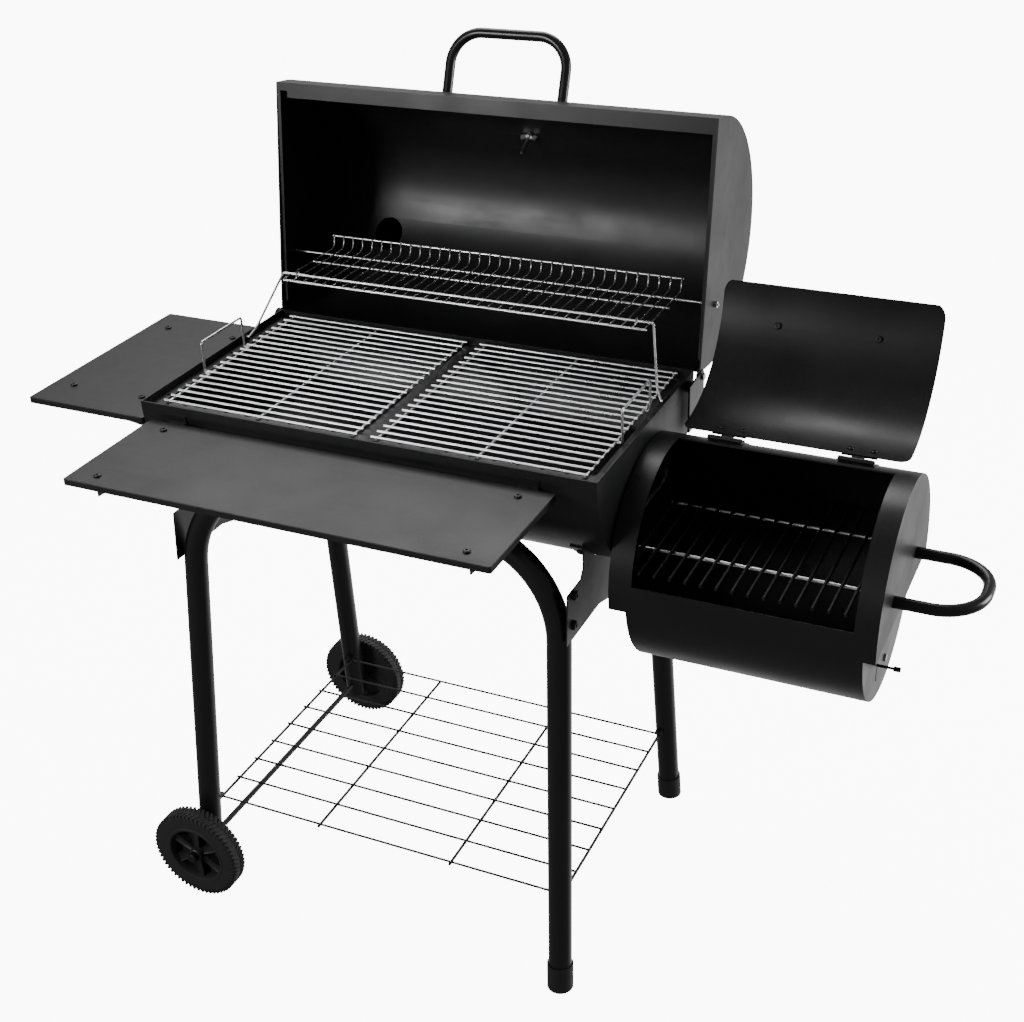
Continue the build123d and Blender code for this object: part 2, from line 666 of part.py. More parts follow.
def fire_grate_wires():
    z = FIRE_GRATE_Z + 5.99
    return Compound(children=[ycyl(-158, 158, 402 + 23 * i, z, 2.5) for i in range(15)])


def fire_grate_rods():
    return Compound(children=[xcyl(394, 762, y, FIRE_GRATE_Z, 3.5) for y in (-74.5, 74.5)])


def fire_grate_rest(side):
    x, top = (FB_X0 + 2 if side < 0 else FB_X1 - 2), FIRE_GRATE_Z - 3.6
    x0, x1 = sorted((x, x - side * 18))
    rest = box(x0, x1, -100, 100, top - 2, top)
    x0, x1 = sorted((x, x - side * 2))
    return rest + box(x0, x1, -100, 100, top - 18, top)


# ---------------------------------------------------------------- assembly
def pair(make):
    return Compound(children=[make(-1), make(1)])


def cooker_nodes():
    ledges = [grate_ledge(-1), grate_ledge(1), centre_bar(), pan_rest(-1), pan_rest(1)]
    screws = [shelf_screws(FRONT_HOLES, FRONT_SHELF[4]), shelf_screws(LEFT_HOLES, LEFT_SHELF[4])]
    return {
        "bowl_shell": bowl_shell(), "bowl_end_left": bowl_end(-1), "bowl_end_right": bowl_end(1),
        "grate_supports": Compound(children=ledges), "rack_lugs": pair(rack_lug),
        "cooking_grate_left": cooking_grate(-1), "cooking_grate_right": cooking_grate(1),
        "charcoal_pan": charcoal_pan(), "lid_brackets": pair(lid_bracket), "lid_pivots": pair(lid_pivot),
        "leg_frame_front": leg_frame(-1), "leg_frame_rear": leg_frame(1), "foot_caps": pair(foot_cap),
        "leg_brace_left": leg_brace(-1), "leg_brace_right": leg_brace(1), "frame_bolts": frame_bolts(),
        "axle": Compound(children=[axle(), axle_cap(-1), axle_cap(1)]),
        "tyre_front": tyre(-1), "tyre_rear": tyre(1), "hub_front": hub(-1), "hub_rear": hub(1),
        "lower_wire_rack": lower_rack(), "rack_tabs": rack_tabs(),
        "front_shelf": folded_top(*FRONT_SHELF, FRONT_HOLES, FRONT_NOTCHES),
        "front_shelf_arms": Compound(children=[front_arm(-315), front_arm(278)]),
        "left_shelf": folded_top(*LEFT_SHELF, LEFT_HOLES, LEFT_NOTCHES), "left_shelf_arms": pair(left_arm),
        "shelf_screws": Compound(children=screws),
    }


def lid_nodes():
    nodes = {
        "lid_shell": lid_shell(), "lid_end_left": lid_end(-1), "lid_end_right": lid_end(1),
        "lid_lip": lid_lip(), "lid_handle": lid_handle(), "lid_handle_screws": handle_screws(),
        "chimney": chimney(), "chimney_cap": chimney_cap(), "chimney_pin": chimney_pin(),
        "thermometer_case": thermo_case(), "thermometer_lens": thermo_lens(),
        "thermometer_needle": thermo_needle(), "thermometer_stem": thermo_stem(),
    }
    return {k: swing(v, LID_HINGE, LID_OPEN) for k, v in nodes.items()}


def firebox_nodes():
    x0, x1, l0, l1 = FB_X0, FB_X1, FB_LOW_X0, FB_LOW_X1
    nodes = {
        "firebox_upper": firebox_upper(), "firebox_lower": firebox_lower(),
        "firebox_end_left": firebox_end(x0, x0 + 2, (x0, l0 + 2), True) + firebox_collar(),
        "firebox_end_right": firebox_end(x1 - 2, x1, (l1 - 2, x1), False),
        "firebox_low_ends": Compound(children=[firebox_low_end(l0, l0 + 2, False),
                                               firebox_low_end(l1 - 2, l1, True)]),
        "damper_pivot": damper_pivot(), "damper_plate": damper_plate() + damper_lever(),
        "end_handle": end_handle(), "fire_grate_wires": fire_grate_wires(), "fire_grate_rods": fire_grate_rods(),
        "fire_grate_rests": pair(fire_grate_rest),
        "door_hinge_fixed": Compound(children=[door_hinge_fixed(), door_hinge_pins(),
                                               hinge_bolts(62, FB_R + 1.6, False)]),
    }
    door = {
        "door_plate": door_plate(), "door_handle": door_handle(), "door_screws": door_screws(),
        "door_hinge_leaves": Compound(children=[door_hinge_leaves(), hinge_bolts(87, DOOR_R - 1.62, True)]),
    }
    nodes.update({k: swing(v, DOOR_HINGE, DOOR_OPEN) for k, v in door.items()})
    return nodes


def rack_nodes():
    rack = Compound(children=[warming_rack(), rack_staples(), rack_nuts()])
    return {"warming_rack": rack, "rack_bail": bail()}


def main():
    nodes = {**cooker_nodes(), **lid_nodes(), **firebox_nodes(), **rack_nodes()}
    lows = [v.bounding_box() for v in nodes.values()]
    cx = (min(b.min.X for b in lows) + max(b.max.X for b in lows)) / 2
    cy = (min(b.min.Y for b in lows) + max(b.max.Y for b in lows)) / 2
    z0 = min(b.min.Z for b in lows)
    print("shift", -cx, -cy, -z0, "nodes", len(nodes))
    for name, shape in nodes.items():
        export_step(Pos(-cx, -cy, -z0) * shape, f"parts/{name}.step")


if __name__ == "__main__":
    main()
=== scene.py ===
"""Looks for the offset smoker: finishes, fine pieces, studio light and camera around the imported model."""

import json
import logging
import math
from dataclasses import dataclass
from enum import Enum
from typing import Callable, Sequence

import bmesh
import bpy
from mathutils import Matrix, Vector

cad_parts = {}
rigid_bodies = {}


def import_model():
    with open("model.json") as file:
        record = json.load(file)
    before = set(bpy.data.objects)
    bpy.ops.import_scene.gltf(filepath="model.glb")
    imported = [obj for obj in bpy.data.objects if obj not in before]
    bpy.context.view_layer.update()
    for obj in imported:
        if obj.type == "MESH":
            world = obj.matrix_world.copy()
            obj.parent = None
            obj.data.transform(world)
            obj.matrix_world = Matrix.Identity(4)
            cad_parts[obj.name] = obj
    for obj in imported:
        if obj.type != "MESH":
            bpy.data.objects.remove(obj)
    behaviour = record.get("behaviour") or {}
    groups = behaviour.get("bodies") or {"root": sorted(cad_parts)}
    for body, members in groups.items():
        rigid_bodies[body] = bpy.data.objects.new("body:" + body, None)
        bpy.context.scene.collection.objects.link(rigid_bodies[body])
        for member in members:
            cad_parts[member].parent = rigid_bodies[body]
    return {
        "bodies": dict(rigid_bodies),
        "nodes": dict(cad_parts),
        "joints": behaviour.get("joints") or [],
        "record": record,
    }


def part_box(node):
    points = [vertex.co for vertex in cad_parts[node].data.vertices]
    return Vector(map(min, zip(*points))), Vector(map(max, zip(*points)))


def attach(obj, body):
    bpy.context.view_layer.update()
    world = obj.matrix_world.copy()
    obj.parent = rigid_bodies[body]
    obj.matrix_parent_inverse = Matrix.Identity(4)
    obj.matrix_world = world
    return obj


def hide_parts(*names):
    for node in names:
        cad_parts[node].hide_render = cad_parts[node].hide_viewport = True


LOG = logging.getLogger("smoker")
Point = tuple[float, float, float]


class Side(Enum):
    """Which of a pair a piece is; the value is its sign along the pair's axis."""

    FRONT = -1
    REAR = 1


class Slot(Enum):
    """Material slots of the record."""

    COAT = "black_coat"
    END = "black_end"
    WIRE = "bright_wire"
    ZINC = "zinc"
    PLASTIC = "black_plastic"
    TREAD = "tread"
    LENS = "lens"
    GAUGE = "gauge"
    DARK_WIRE = "dark_wire"
    BOLT = "black_bolt"


# ------------------------------------------------------------------ node helpers
class NodeSheet:
    """A small builder for one node tree."""

    def __init__(self, tree: bpy.types.NodeTree) -> None:
        """Keeps the tree that the nodes go into.

        Args:
            tree: the material's or group's node tree.
        """
        self.tree = tree

    def add(self, kind: str, **settings: object) -> bpy.types.Node:
        """Adds a node and sets its plain properties.

        Args:
            kind: the node's type name.
            **settings: properties to set on it.

        Returns:
            The new node.
        """
        node = self.tree.nodes.new(kind)
        for key, value in settings.items():
            setattr(node, key, value)
        return node

    def join(self, source: bpy.types.NodeSocket, target: bpy.types.NodeSocket) -> None:
        """Links one socket to another."""
        self.tree.links.new(source, target)

    def maths(self, operation: str, first: object, second: object) -> bpy.types.NodeSocket:
        """Adds a Math node.

        Args:
            operation: the node's operation.
            first: a socket or a number.
            second: a socket or a number.

        Returns:
            The node's result socket.
        """
        node = self.add("ShaderNodeMath", operation=operation)
        for i, value in enumerate((first, second)):
            if isinstance(value, bpy.types.NodeSocket):
                self.join(value, node.inputs[i])
            else:
                node.inputs[i].default_value = value
        return node.outputs[0]

    def span(self, value: bpy.types.NodeSocket, low: float, high: float,
             to_low: float = 0.0, to_high: float = 1.0) -> bpy.types.NodeSocket:
        """Maps a value from one range to another, clamped.

        Args:
            value: the socket to map.
            low: start of the range read.
            high: end of the range read.
            to_low: result at low.
            to_high: result at high.

        Returns:
            The mapped value's socket.
        """
        node = self.add("ShaderNodeMapRange", clamp=True)
        self.join(value, node.inputs["Value"])
        for key, number in (("From Min", low), ("From Max", high), ("To Min", to_low), ("To Max", to_high)):
            node.inputs[key].default_value = number
        return node.outputs["Result"]

    def noise(self, scale: float, detail: float, vector: bpy.types.NodeSocket) -> bpy.types.NodeSocket:
        """Adds a noise texture and returns its factor."""
        node = self.add("ShaderNodeTexNoise")
        node.inputs["Scale"].default_value = scale
        node.inputs["Detail"].default_value = detail
        self.join(vector, node.inputs["Vector"])
        return node.outputs["Fac"]


def group_tree(name: str, inputs: Sequence[tuple[str, float]], outputs: Sequence[str]) -> bpy.types.NodeTree:
    """Starts a shader node group.

    Args:
        name: the group's name.
        inputs: name and default of each number that goes in.
        outputs: name of each value that comes out.

    Returns:
        The group's tree, with its input and output nodes in place.
    """
    tree = bpy.data.node_groups.new(name, "ShaderNodeTree")
    for label, default in inputs:
        socket = tree.interface.new_socket(label, in_out="INPUT", socket_type="NodeSocketFloat")
        socket.default_value = default
    for label in outputs:
        tree.interface.new_socket(label, in_out="OUTPUT", socket_type="NodeSocketFloat")
    tree.nodes.new("NodeGroupInput")
    tree.nodes.new("NodeGroupOutput")
    return tree


class Effects:
    """Effects that several finishes share, each a node group built once."""

    def __init__(self) -> None:
        """Builds every group."""
        self.coat_grain = self._coat_grain()
        self.dust = self._dust()
        self.scuffs = self._scuffs()

    @staticmethod
    def _coat_grain() -> bpy.types.NodeTree:
        """Orange peel of a baked powder coat: fine cells with slow waves under them."""
        tree = group_tree("coat_grain", [("Cell Scale", 900.0), ("Wave Scale", 14.0)], ["Height", "Cloud"])
        sheet = NodeSheet(tree)
        ends = {n.bl_idname: n for n in tree.nodes}
        given, out = ends["NodeGroupInput"], ends["NodeGroupOutput"]
        place = sheet.add("ShaderNodeTexCoord").outputs["Object"]
        cells = sheet.add("ShaderNodeTexNoise")
        cells.inputs["Detail"].default_value = 2.0
        sheet.join(place, cells.inputs["Vector"])
        sheet.join(given.outputs["Cell Scale"], cells.inputs["Scale"])
        waves = sheet.add("ShaderNodeTexNoise")
        waves.inputs["Detail"].default_value = 3.0
        sheet.join(place, waves.inputs["Vector"])
        sheet.join(given.outputs["Wave Scale"], waves.inputs["Scale"])
        sheet.join(cells.outputs["Fac"], out.inputs["Height"])
        sheet.join(sheet.span(waves.outputs["Fac"], 0.3, 0.7), out.inputs["Cloud"])
        return tree

    @staticmethod
    def _dust() -> bpy.types.NodeTree:
        """A thin settled dust, on faces that look upwards, broken up by noise."""
        tree = group_tree("settled_dust", [("Amount", 0.3)], ["Mask"])
        sheet = NodeSheet(tree)
        ends = {n.bl_idname: n for n in tree.nodes}
        given, out = ends["NodeGroupInput"], ends["NodeGroupOutput"]
        normal = sheet.add("ShaderNodeNewGeometry").outputs["Normal"]
        parts = sheet.add("ShaderNodeSeparateXYZ")
        sheet.join(normal, parts.inputs[0])
        upward = sheet.span(parts.outputs["Z"], 0.2, 0.95)
        place = sheet.add("ShaderNodeTexCoord").outputs["Object"]
        patches = sheet.span(sheet.noise(9.0, 5.0, place), 0.35, 0.75)
        specks = sheet.span(sheet.noise(420.0, 2.0, place), 0.55, 0.72)
        mixed = sheet.maths("MULTIPLY_ADD", patches, 0.75)
        sheet.join(specks, mixed.node.inputs[2])
        total = sheet.maths("MULTIPLY", sheet.maths("MULTIPLY", mixed, upward), given.outputs["Amount"])
        sheet.join(total, out.inputs["Mask"])
        return tree

    @staticmethod
    def _scuffs() -> bpy.types.NodeTree:
        """Long faint rub marks, stretched along X."""
        tree = group_tree("rub_marks", [("Scale", 60.0), ("Amount", 0.5)], ["Mask"])
        sheet = NodeSheet(tree)
        ends = {n.bl_idname: n for n in tree.nodes}
        given, out = ends["NodeGroupInput"], ends["NodeGroupOutput"]
        mapping = sheet.add("ShaderNodeMapping")
        mapping.inputs["Scale"].default_value = (0.12, 1.0, 1.0)
        sheet.join(sheet.add("ShaderNodeTexCoord").outputs["Object"], mapping.inputs["Vector"])
        marks = sheet.add("ShaderNodeTexNoise")
        marks.inputs["Detail"].default_value = 6.0
        sheet.join(mapping.outputs[0], marks.inputs["Vector"])
        sheet.join(given.outputs["Scale"], marks.inputs["Scale"])
        thin = sheet.span(marks.outputs["Fac"], 0.56, 0.72)
        sheet.join(sheet.maths("MULTIPLY", thin, given.outputs["Amount"]), out.inputs["Mask"])
        return tree

    def place(self, sheet: NodeSheet, tree: bpy.types.NodeTree, **values: float) -> bpy.types.Node:
        """Puts a group into a material with its own values.

        Args:
            sheet: the material's builder.
            tree: the group to place.
            **values: input values, with _ for a space in the name.

        Returns:
            The group node.
        """
        node = sheet.add("ShaderNodeGroup")
        node.node_tree = tree
        for key, value in values.items():
            node.inputs[key.replace("_", " ")].default_value = value
        return node


def new_material(name: str) -> tuple[bpy.types.Material, NodeSheet, bpy.types.Node]:
    """Starts a material.

    Args:
        name: the material's name.

    Returns:
        The material, a builder for its nodes, and its Principled shader.
    """
    material = bpy.data.materials.new(name)
    material.use_nodes = True
    shader = next(n for n in material.node_tree.nodes if n.type == "BSDF_PRINCIPLED")
    return material, NodeSheet(material.node_tree), shader


# ------------------------------------------------------------------ finishes
@dataclass(frozen=True)
class PowderCoat:
    """Black powder coat on sheet metal or tube."""

    name: str
    colour: float = 0.011
    rough_low: float = 0.30
    rough_high: float = 0.42
    peel: float = 0.10
    cell_scale: float = 800.0
    dust: float = 0.10

    def build(self, effects: Effects) -> bpy.types.Material:
        """Makes the material from the shared effects."""
        material, sheet, shader = new_material(self.name)
        grain = effects.place(sheet, effects.coat_grain, Cell_Scale=self.cell_scale, Wave_Scale=11.0)
        dust = effects.place(sheet, effects.dust, Amount=self.dust)
        rubs = effects.place(sheet, effects.scuffs, Scale=45.0, Amount=0.35)
        shade = sheet.add("ShaderNodeMix", data_type="RGBA")
        shade.inputs[6].default_value = (self.colour, self.colour, self.colour * 1.06, 1.0)
        shade.inputs[7].default_value = (0.16, 0.155, 0.145, 1.0)
        sheet.join(dust.outputs["Mask"], shade.inputs[0])
        sheet.join(shade.outputs[2], shader.inputs["Base Color"])
        cloud = sheet.span(grain.outputs["Cloud"], 0.0, 1.0, self.rough_low, self.rough_high)
        rough = sheet.maths("MULTIPLY_ADD", rubs.outputs["Mask"], 0.12)
        sheet.join(cloud, rough.node.inputs[2])
        sheet.join(rough, shader.inputs["Roughness"])
        bump = sheet.add("ShaderNodeBump")
        bump.inputs["Strength"].default_value = self.peel
        bump.inputs["Distance"].default_value = 0.0004
        sheet.join(grain.outputs["Height"], bump.inputs["Height"])
        sheet.join(bump.outputs[0], shader.inputs["Normal"])
        shader.inputs["IOR"].default_value = 1.5
        return material


@dataclass(frozen=True)
class PlatedWire:
    """Bright plated wire or turned metal."""

    name: str
    colour: float = 0.94
    roughness: float = 0.27

    def build(self, effects: Effects) -> bpy.types.Material:
        """Makes the material from the shared effects."""
        material, sheet, shader = new_material(self.name)
        marks = effects.place(sheet, effects.scuffs, Scale=260.0, Amount=0.6)
        grain = effects.place(sheet, effects.coat_grain, Cell_Scale=1500.0, Wave_Scale=30.0)
        shade = sheet.add("ShaderNodeMix", data_type="RGBA")
        shade.inputs[6].default_value = (self.colour, self.colour, self.colour * 1.01, 1.0)
        shade.inputs[7].default_value = (self.colour * 0.62, self.colour * 0.61, self.colour * 0.58, 1.0)
        sheet.join(marks.outputs["Mask"], shade.inputs[0])
        sheet.join(shade.outputs[2], shader.inputs["Base Color"])
        shader.inputs["Metallic"].default_value = 1.0
        rough = sheet.span(grain.outputs["Cloud"], 0.0, 1.0, self.roughness * 0.8, self.roughness * 1.5)
        sheet.join(rough, shader.inputs["Roughness"])
        bump = sheet.add("ShaderNodeBump")
        bump.inputs["Strength"].default_value = 0.08
        bump.inputs["Distance"].default_value = 0.0002
        sheet.join(grain.outputs["Height"], bump.inputs["Height"])
        sheet.join(bump.outputs[0], shader.inputs["Normal"])
        return material


@dataclass(frozen=True)
class MouldedBlack:
    """Black moulded plastic or tyre compound."""

    name: str
    colour: float = 0.016
    roughness: float = 0.5
    texture: float = 0.25
    dust: float = 0.25

    def build(self, effects: Effects) -> bpy.types.Material:
        """Makes the material from the shared effects."""
        material, sheet, shader = new_material(self.name)
        grain = effects.place(sheet, effects.coat_grain, Cell_Scale=2200.0, Wave_Scale=40.0)
        dust = effects.place(sheet, effects.dust, Amount=self.dust)
        shade = sheet.add("ShaderNodeMix", data_type="RGBA")
        shade.inputs[6].default_value = (self.colour, self.colour, self.colour, 1.0)
        shade.inputs[7].default_value = (0.14, 0.135, 0.125, 1.0)
        sheet.join(dust.outputs["Mask"], shade.inputs[0])
        sheet.join(shade.outputs[2], shader.inputs["Base Color"])
        rough = sheet.span(grain.outputs["Cloud"], 0.0, 1.0, self.roughness - 0.06, self.roughness + 0.1)
        sheet.join(rough, shader.inputs["Roughness"])
        bump = sheet.add("ShaderNodeBump")
        bump.inputs["Strength"].default_value = self.texture
        bump.inputs["Distance"].default_value = 0.0004
        sheet.join(grain.outputs["Height"], bump.inputs["Height"])
        sheet.join(bump.outputs[0], shader.inputs["Normal"])
        return material


@dataclass(frozen=True)
class ClearGlass:
    """The gauge's window."""

    name: str

    def build(self, effects: Effects) -> bpy.types.Material:
        """Makes the material; a faint haze comes from the shared grain."""
        material, sheet, shader = new_material(self.name)
        grain = effects.place(sheet, effects.coat_grain, Cell_Scale=300.0, Wave_Scale=60.0)
        sheet.join(sheet.span(grain.outputs["Cloud"], 0.0, 1.0, 0.02, 0.09), shader.inputs["Roughness"])
        shader.inputs["Base Color"].default_value = (0.95, 0.97, 0.97, 1.0)
        shader.inputs["Transmission Weight"].default_value = 1.0
        shader.inputs["IOR"].default_value = 1.45
        return material


class Palette:
    """Every finish of the smoker, built once."""

    def __init__(self) -> None:
        """Builds the effects and the materials."""
        effects = Effects()
        self.coat = PowderCoat("barrel_coat").build(effects)
        self.end_coat = PowderCoat("end_plate_coat", rough_low=0.38, rough_high=0.48).build(effects)
        self.tube_coat = PowderCoat("tube_coat", rough_low=0.24, rough_high=0.34, dust=0.05).build(effects)
        self.shelf_coat = PowderCoat("shelf_coat", rough_low=0.40, rough_high=0.50, dust=0.08).build(effects)
        self.bolt_coat = PowderCoat("bolt_coat", rough_low=0.30, rough_high=0.4, peel=0.03).build(effects)
        self.dark_wire = PowderCoat("rack_wire_coat", colour=0.006, rough_low=0.5, rough_high=0.62,
                                    peel=0.05, dust=0.0).build(effects)
        self.wire = PlatedWire("plated_wire").build(effects)
        self.zinc = PlatedWire("zinc_plate", colour=0.55, roughness=0.34).build(effects)
        self.gauge = PlatedWire("gauge_bright", colour=0.72, roughness=0.14).build(effects)
        self.plastic = MouldedBlack("moulded_plastic").build(effects)
        self.tread = MouldedBlack("tyre_compound", colour=0.02, roughness=0.62, texture=0.35).build(effects)
        self.lens = ClearGlass("gauge_window").build(effects)

    def for_slot(self, slot: Slot) -> bpy.types.Material:
        """The finish that a record slot gets by default."""
        return {
            Slot.COAT: self.coat, Slot.END: self.end_coat, Slot.WIRE: self.wire, Slot.ZINC: self.zinc,
            Slot.PLASTIC: self.plastic, Slot.TREAD: self.tread, Slot.LENS: self.lens,
            Slot.GAUGE: self.gauge, Slot.DARK_WIRE: self.dark_wire, Slot.BOLT: self.bolt_coat,
        }[slot]


def dress(piece: bpy.types.Object, material: bpy.types.Material) -> None:
    """Gives a piece one finish on every slot of its own.

    Args:
        piece: the object to dress.
        material: the finish.
    """
    if not piece.material_slots:
        piece.data.materials.append(material)
    for holder in piece.material_slots:
        holder.material = material


# ------------------------------------------------------------------ modelling helpers
def start(kind: str, name: str, **settings: object) -> bpy.types.Object:
    """Adds a mesh primitive with everything else deselected.

    Args:
        kind: which primitive, such as "cylinder".
        name: the new piece's name.
        **settings: arguments of the primitive's operator.

    Returns:
        The new object, active and selected.
    """
    if bpy.context.mode != "OBJECT":
        bpy.ops.object.mode_set(mode="OBJECT")
    bpy.ops.object.select_all(action="DESELECT")
    getattr(bpy.ops.mesh, f"primitive_{kind}_add")(**settings)
    piece = bpy.context.active_object
    piece.name = name
    piece.data.name = name
    return piece


def settle(piece: bpy.types.Object) -> bpy.types.Object:
    """Puts the piece's place, turn and scale into its mesh."""
    only(piece)
    bpy.ops.object.transform_apply(location=True, rotation=True, scale=True)
    return piece


def only(*pieces: bpy.types.Object) -> None:
    """Selects these objects alone; the first is the active one."""
    if bpy.context.mode != "OBJECT":
        bpy.ops.object.mode_set(mode="OBJECT")
    bpy.ops.object.select_all(action="DESELECT")
    for piece in pieces:
        piece.select_set(True)
    bpy.context.view_layer.objects.active = pieces[0]


def pick(piece: bpy.types.Object, what: str, test: Callable[[Vector, Vector], bool]) -> int:
    """Goes into edit mode and selects vertices, edges or faces by place.

    Args:
        piece: the mesh to work on.
        what: VERT, EDGE or FACE.
        test: takes an element's middle and its normal (an edge's is its direction).

    Returns:
        How many elements were selected.
    """
    only(piece)
    bpy.ops.object.mode_set(mode="EDIT")
    bpy.ops.mesh.select_mode(type=what)
    bpy.ops.mesh.select_all(action="DESELECT")
    shape = bmesh.from_edit_mesh(piece.data)
    count = 0
    if what == "VERT":
        for v in shape.verts:
            if test(v.co, v.normal):
                v.select_set(True)
                count += 1
    elif what == "EDGE":
        for e in shape.edges:
            first, second = (v.co for v in e.verts)
            if test((first + second) / 2, (second - first).normalized()):
                e.select_set(True)
                count += 1
    else:
        for f in shape.faces:
            if test(f.calc_center_median(), f.normal):
                f.select_set(True)
                count += 1
    shape.select_flush_mode()
    bmesh.update_edit_mesh(piece.data)
    return count


def leave_edit() -> None:
    """Goes back to object mode."""
    bpy.ops.object.mode_set(mode="OBJECT")


def round_edges(piece: bpy.types.Object, width: float, segments: int = 2,
                angle: float = 30.0) -> bpy.types.Object:
    """Rounds a piece's sharp edges with an applied bevel and smooths the rest.

    Args:
        piece: the mesh to finish.
        width: the bevel's width in metres.
        segments: how many steps the rounding has.
        angle: edges sharper than this many degrees are rounded.

    Returns:
        The same piece.
    """
    only(piece)
    bevel = piece.modifiers.new("rounded_edges", "BEVEL")
    bevel.width = width
    bevel.segments = segments
    bevel.limit_method = "ANGLE"
    bevel.angle_limit = math.radians(angle)
    bpy.ops.object.modifier_apply(modifier=bevel.name)
    bpy.ops.object.shade_smooth_by_angle(angle=math.radians(40.0))
    return piece


def copies(piece: bpy.types.Object, places: Sequence[Matrix]) -> bpy.types.Object:
    """Copies a modelled piece to every place, each with its own mesh, and joins them.

    Args:
        piece: the piece modelled once; it is used up.
        places: where each copy goes.

    Returns:
        One object that holds all the copies.
    """
    made = []
    for matrix in places:
        twin = piece.copy()
        twin.data = piece.data.copy()
        twin.data.transform(matrix)
        if matrix.determinant() < 0:
            twin.data.flip_normals()
        bpy.context.scene.collection.objects.link(twin)
        made.append(twin)
    name = piece.name
    bpy.data.objects.remove(piece)
    only(*made)
    bpy.ops.object.join()
    joined = bpy.context.active_object
    joined.name = name
    return joined


def merge(name: str, *pieces: bpy.types.Object) -> bpy.types.Object:
    """Joins pieces into one object with a name."""
    only(*pieces)
    if len(pieces) > 1:
        bpy.ops.object.join()
    joined = bpy.context.active_object
    joined.name = name
    joined.data.name = name
    return joined


def spin_ring(name: str, profile: Sequence[tuple[float, float]], centre: Point, axis: str,
              steps: int) -> bpy.types.Object:
    """Makes a closed ring by spinning an outline a full turn.

    Args:
        name: the piece's name.
        profile: points of radius and place along the axis, in metres.
        centre: a point on the axis, from which the places are counted.
        axis: "x" or "y", the axis's direction.
        steps: how many steps the turn has.

    Returns:
        The ring.
    """
    piece = start("circle", name, vertices=len(profile), radius=0.01, fill_type="NOTHING")
    for vertex, (radius, along) in zip(piece.data.vertices, profile):
        vertex.co = (along, 0, radius) if axis == "x" else (0, along, radius)
    bpy.ops.object.mode_set(mode="EDIT")
    bpy.ops.mesh.select_all(action="SELECT")
    bpy.ops.mesh.spin(steps=steps, angle=2 * math.pi, center=(0, 0, 0),
                      axis=(1, 0, 0) if axis == "x" else (0, 1, 0))
    bpy.ops.mesh.select_all(action="SELECT")
    bpy.ops.mesh.remove_doubles(threshold=1e-5)
    bpy.ops.mesh.normals_make_consistent(inside=False)
    leave_edit()
    piece.data.transform(Matrix.Translation(centre))
    bpy.ops.object.shade_smooth_by_angle(angle=math.radians(35.0))
    return piece


def mirrored(half: Sequence[tuple[float, float]]) -> list[tuple[float, float]]:
    """Closes a half outline of (radius, offset) points with its mirror image across offset zero."""
    return [*half, *((radius, -offset) for radius, offset in reversed(half))]


def finish_piece(piece: bpy.types.Object, body: str, slot: Slot, material: bpy.types.Material,
                 *stands_for: str) -> bpy.types.Object:
    """Dresses a new piece, rides it on its body and hides the nodes that it stands for.

    Args:
        piece: the finished mesh.
        body: the body that it moves with.
        slot: its material slot in the record; not used.
        material: its finish.
        *stands_for: nodes that are then not shown.

    Returns:
        The same piece.
    """
    piece.data.materials.clear()
    dress(piece, material)
    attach(piece, body)
    if stands_for:
        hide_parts(*stands_for)
    LOG.info("piece %s on %s", piece.name, body)
    return piece


